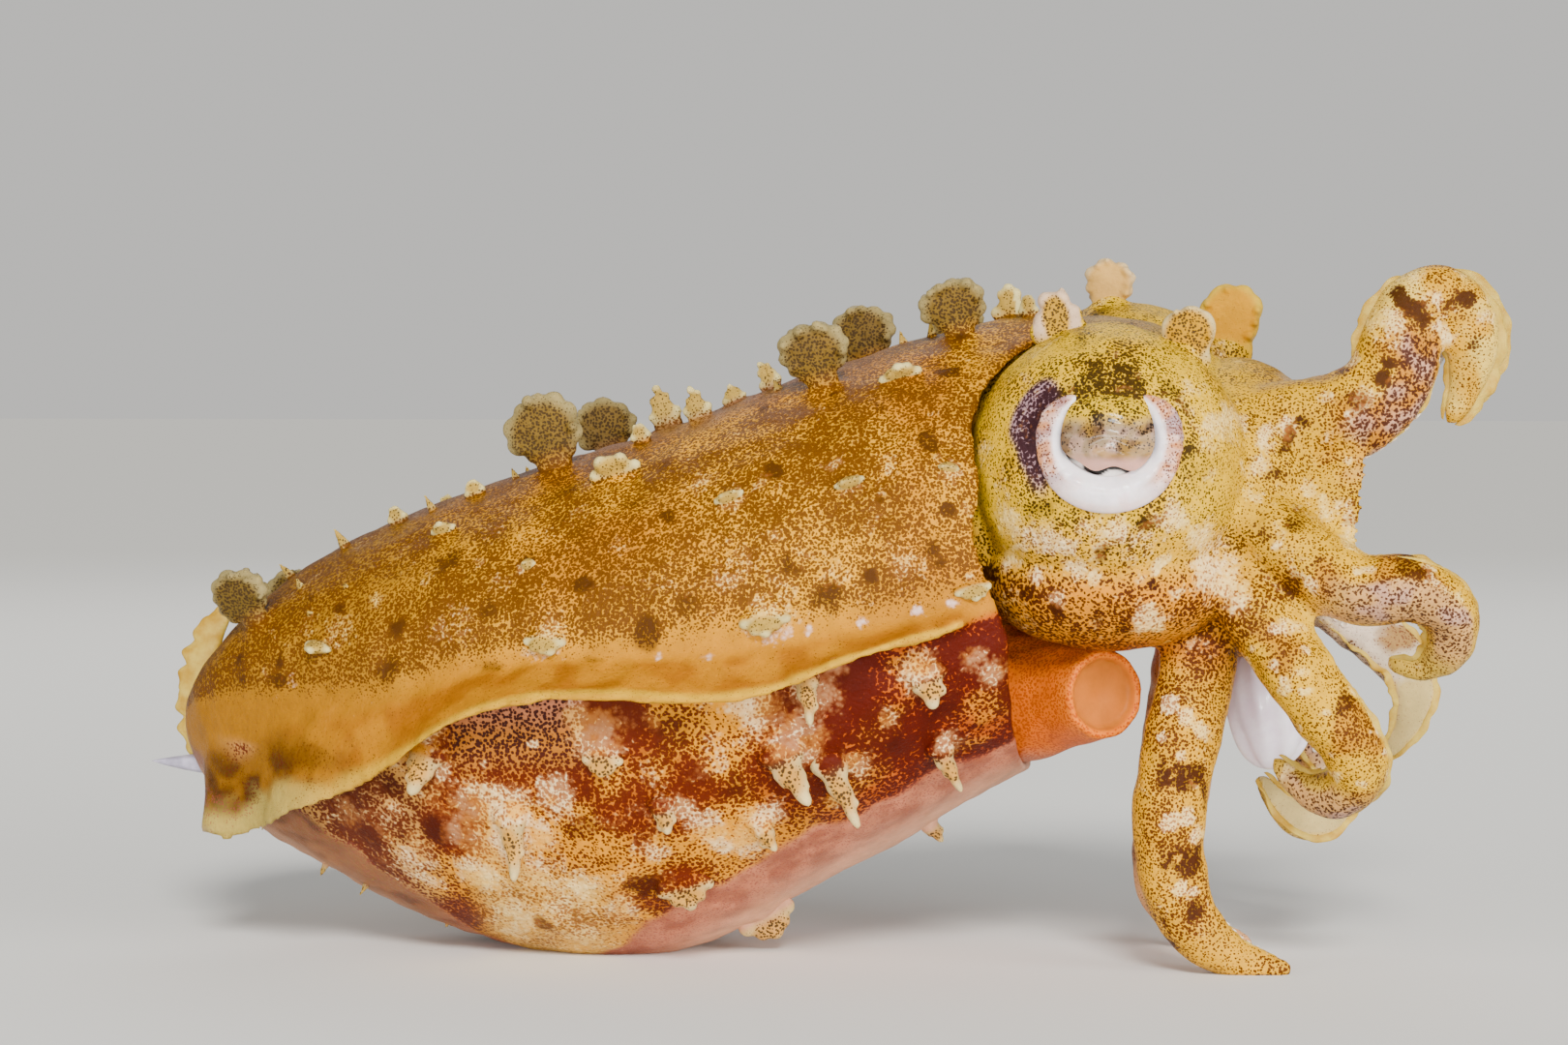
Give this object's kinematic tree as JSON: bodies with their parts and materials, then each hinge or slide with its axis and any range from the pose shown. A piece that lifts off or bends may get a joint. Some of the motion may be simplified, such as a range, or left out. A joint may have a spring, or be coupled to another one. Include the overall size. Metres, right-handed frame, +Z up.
{
  "type": "dwarf cuttlefish",
  "caption": "Life-size dwarf cuttlefish standing on its belly and two lowest arms, skin raised in leafy bumps, eight suckered arms fanned and curled, funnel bent to the right.",
  "frame": {"origin": "centre of the flat under the belly, on the surface the animal rests on", "axes": "+X forwards from tail to arms, +Y towards the animal's left, +Z up"},
  "size_m": [0.0836, 0.0384, 0.0425],
  "materials": {
    "skin": "wet satin, golden brown with dark dots and cream patches",
    "fin": "wet, thin, amber with a pale edge",
    "funnel_skin": "wet satin, orange",
    "eye": "wet gloss, pearly with a dark slit",
    "membrane": "wet satin, bluish white",
    "bone": "chalky, slightly translucent"
  },
  "bodies": {
    "root": {"mantle": "skin", "cuttlebone_spine": "bone", "fin_right": "fin", "fin_left": "fin", "head": "skin", "eye_right": "eye", "eye_left": "eye", "funnel": "funnel_skin", "buccal_membrane": "membrane", "arm_1_right_base": "skin", "arm_1_right_middle": "skin", "arm_1_right_tip": "skin", "arm_2_right_base": "skin", "arm_2_right_middle": "skin", "arm_2_right_tip": "skin", "arm_3_right_base": "skin", "arm_3_right_middle": "skin", "arm_3_right_tip": "skin", "arm_4_right_base": "skin", "arm_4_right_middle": "skin", "arm_4_right_tip": "skin", "arm_1_left_base": "skin", "arm_1_left_middle": "skin", "arm_1_left_tip": "skin", "arm_2_left_base": "skin", "arm_2_left_middle": "skin", "arm_2_left_tip": "skin", "arm_3_left_base": "skin", "arm_3_left_middle": "skin", "arm_3_left_tip": "skin", "arm_4_left_base": "skin", "arm_4_left_middle": "skin", "arm_4_left_tip": "skin"}
  },
  "joints": []
}
